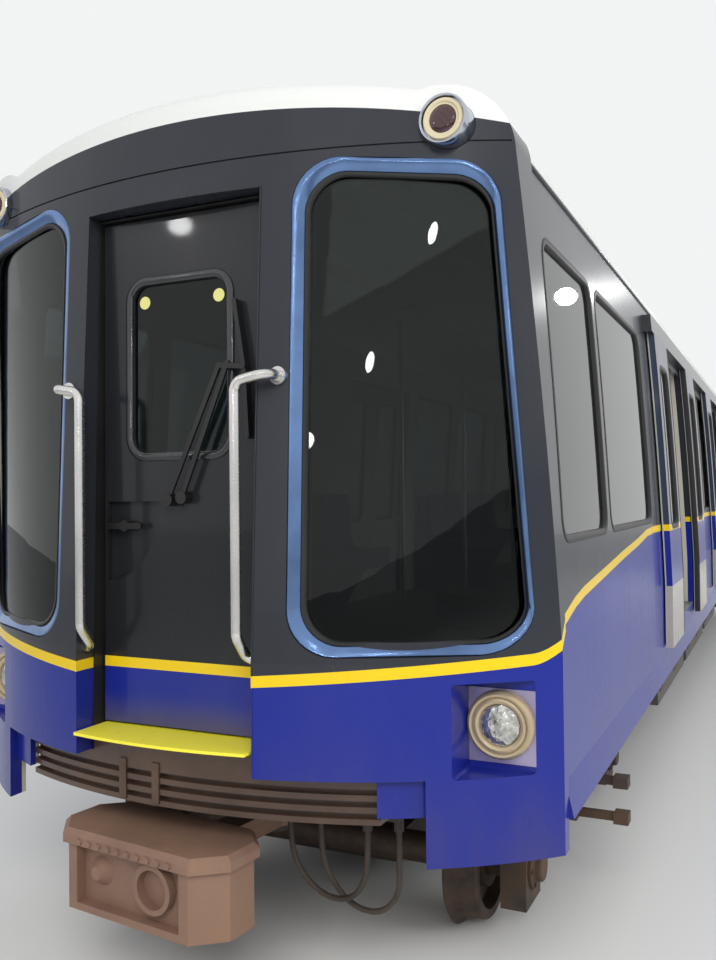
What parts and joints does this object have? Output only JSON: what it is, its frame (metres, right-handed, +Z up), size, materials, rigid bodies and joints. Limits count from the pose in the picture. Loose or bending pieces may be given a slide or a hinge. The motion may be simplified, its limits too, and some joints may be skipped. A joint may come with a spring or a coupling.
{
  "type": "light metro car",
  "caption": "Short metro car with rounded ends, end doors, bi-parting side doors, hollow saloon, swivelling bogies and box couplers.",
  "frame": {"origin": "centre of the footprint, at the lowest point of the wheel flanges, 28 mm below the rail top", "axes": "the car runs along Y with the front end at -Y; +X is the right side seen from in front; +Z up"},
  "size_m": [2.6, 12.7382, 3.138],
  "materials": {
    "front_paint": "glossy near-black over glossy blue, moulded end cap",
    "side_paint": "glossy blue lower side under a near-black window band",
    "roof_paint": "satin off-white",
    "floor_cover": "matt ribbed floor covering",
    "underframe_paint": "matt black with brake dust",
    "glass": "tinted",
    "seal_rubber": "matt black",
    "door_paint": "glossy near-black over glossy blue",
    "black_fittings": "satin black",
    "yellow_plate": "glossy yellow with scuffs",
    "bumper_rubber": "ribbed, satin black",
    "stainless": "satin stainless steel",
    "lamp_glass": "clear patterned lens",
    "rail_cover": "satin",
    "seat_plastic": "moulded, lightly worn",
    "box_steel": "dusty dark grey",
    "bogie_steel": "dark, oily and dusty",
    "motor_iron": "dark, dusty",
    "coupler_iron": "brown-grey painted casting",
    "wheel_steel": "rust-brown webs and polished treads",
    "leaf_paint": "glossy near-black over blue, grey lower edge",
    "hose_rubber": "satin black"
  },
  "bodies": {
    "carbody": {"front_cap": "front_paint", "rear_cap": "front_paint", "side_wall_left": "side_paint", "side_wall_right": "side_paint", "roof": "roof_paint", "floor": "floor_cover", "underframe": "underframe_paint", "windows": "glass", "end_door_frames": "seal_rubber", "sill_plates": "yellow_plate", "bumpers": "bumper_rubber", "handrails": "stainless", "lamps": "lamp_glass", "door_rails": "rail_cover", "seats": "seat_plastic", "grab_poles": "stainless", "equipment": "box_steel", "front_hose_1": "hose_rubber", "front_hose_2": "hose_rubber", "rear_hose_1": "hose_rubber", "rear_hose_2": "hose_rubber"},
    "front_bogie": {"front_bogie_frame": "bogie_steel", "front_motor": "motor_iron"},
    "rear_bogie": {"rear_bogie_frame": "bogie_steel", "rear_motor": "motor_iron"},
    "wheelset_1": {"wheelset_1": "wheel_steel"},
    "wheelset_2": {"wheelset_2": "wheel_steel"},
    "wheelset_3": {"wheelset_3": "wheel_steel"},
    "wheelset_4": {"wheelset_4": "wheel_steel"},
    "door_right_front_fore": {"door_right_front_fore": "leaf_paint"},
    "door_right_front_aft": {"door_right_front_aft": "leaf_paint"},
    "door_right_rear_fore": {"door_right_rear_fore": "leaf_paint"},
    "door_right_rear_aft": {"door_right_rear_aft": "leaf_paint"},
    "door_left_front_fore": {"door_left_front_fore": "leaf_paint"},
    "door_left_front_aft": {"door_left_front_aft": "leaf_paint"},
    "door_left_rear_fore": {"door_left_rear_fore": "leaf_paint"},
    "door_left_rear_aft": {"door_left_rear_aft": "leaf_paint"},
    "front_door": {"front_end_door": "door_paint", "front_door_fittings": "black_fittings"},
    "front_coupling": {"front_coupler": "coupler_iron"},
    "rear_door": {"rear_end_door": "door_paint", "rear_door_fittings": "black_fittings"},
    "rear_coupling": {"rear_coupler": "coupler_iron"}
  },
  "joints": [
    {"name": "front_bogie_swivel", "type": "hinge", "parent": "carbody", "child": "front_bogie", "pos_m": [0, -4.3, 0.628], "axis": [0, 0, 1], "range_deg": [-4, 4]},
    {"name": "rear_bogie_swivel", "type": "hinge", "parent": "carbody", "child": "rear_bogie", "pos_m": [0, 4.3, 0.628], "axis": [0, 0, 1], "range_deg": [-4, 4]},
    {"name": "wheelset_1_roll", "type": "hinge", "parent": "front_bogie", "child": "wheelset_1", "pos_m": [0, -5.15, 0.263], "axis": [1, 0, 0], "continuous": true},
    {"name": "wheelset_2_roll", "type": "hinge", "parent": "front_bogie", "child": "wheelset_2", "pos_m": [0, -3.45, 0.263], "axis": [1, 0, 0], "continuous": true},
    {"name": "wheelset_3_roll", "type": "hinge", "parent": "rear_bogie", "child": "wheelset_3", "pos_m": [0, 3.45, 0.263], "axis": [1, 0, 0], "continuous": true},
    {"name": "wheelset_4_roll", "type": "hinge", "parent": "rear_bogie", "child": "wheelset_4", "pos_m": [0, 5.15, 0.263], "axis": [1, 0, 0], "continuous": true},
    {"name": "door_right_front_fore_slide", "type": "slide", "parent": "carbody", "child": "door_right_front_fore", "axis": [0, 1, 0], "range_m": [0, 0.58]},
    {"name": "door_right_front_aft_slide", "type": "slide", "parent": "carbody", "child": "door_right_front_aft", "axis": [0, -1, 0], "range_m": [0, 0.58]},
    {"name": "door_right_rear_fore_slide", "type": "slide", "parent": "carbody", "child": "door_right_rear_fore", "axis": [0, 1, 0], "range_m": [0, 0.58]},
    {"name": "door_right_rear_aft_slide", "type": "slide", "parent": "carbody", "child": "door_right_rear_aft", "axis": [0, -1, 0], "range_m": [0, 0.58]},
    {"name": "door_left_front_fore_slide", "type": "slide", "parent": "carbody", "child": "door_left_front_fore", "axis": [0, -1, 0], "range_m": [0, 0.58]},
    {"name": "door_left_front_aft_slide", "type": "slide", "parent": "carbody", "child": "door_left_front_aft", "axis": [0, 1, 0], "range_m": [0, 0.58]},
    {"name": "door_left_rear_fore_slide", "type": "slide", "parent": "carbody", "child": "door_left_rear_fore", "axis": [0, -1, 0], "range_m": [0, 0.58]},
    {"name": "door_left_rear_aft_slide", "type": "slide", "parent": "carbody", "child": "door_left_rear_aft", "axis": [0, 1, 0], "range_m": [0, 0.58]},
    {"name": "front_door_hinge", "type": "hinge", "parent": "carbody", "child": "front_door", "pos_m": [0.342, -6.074, 0.93362], "axis": [0, 0.007, 1], "range_deg": [-92, 0]},
    {"name": "front_coupler_swing", "type": "hinge", "parent": "carbody", "child": "front_coupling", "pos_m": [0, -5.5, 0.4555], "axis": [0, 0, 1], "range_deg": [-3, 17]},
    {"name": "rear_door_hinge", "type": "hinge", "parent": "carbody", "child": "rear_door", "pos_m": [-0.342, 6.074, 0.93362], "axis": [0, -0.007, 1], "range_deg": [-92, 0]},
    {"name": "rear_coupler_swing", "type": "hinge", "parent": "carbody", "child": "rear_coupling", "pos_m": [0, 5.5, 0.4555], "axis": [0, 0, 1], "range_deg": [-3, 17]}
  ],
  "couplings": [
    {"joint": "door_right_front_aft_slide", "follows": "door_right_front_fore_slide", "ratio": 1},
    {"joint": "door_right_rear_aft_slide", "follows": "door_right_rear_fore_slide", "ratio": 1},
    {"joint": "door_left_front_aft_slide", "follows": "door_left_front_fore_slide", "ratio": 1},
    {"joint": "door_left_rear_aft_slide", "follows": "door_left_rear_fore_slide", "ratio": 1}
  ]
}
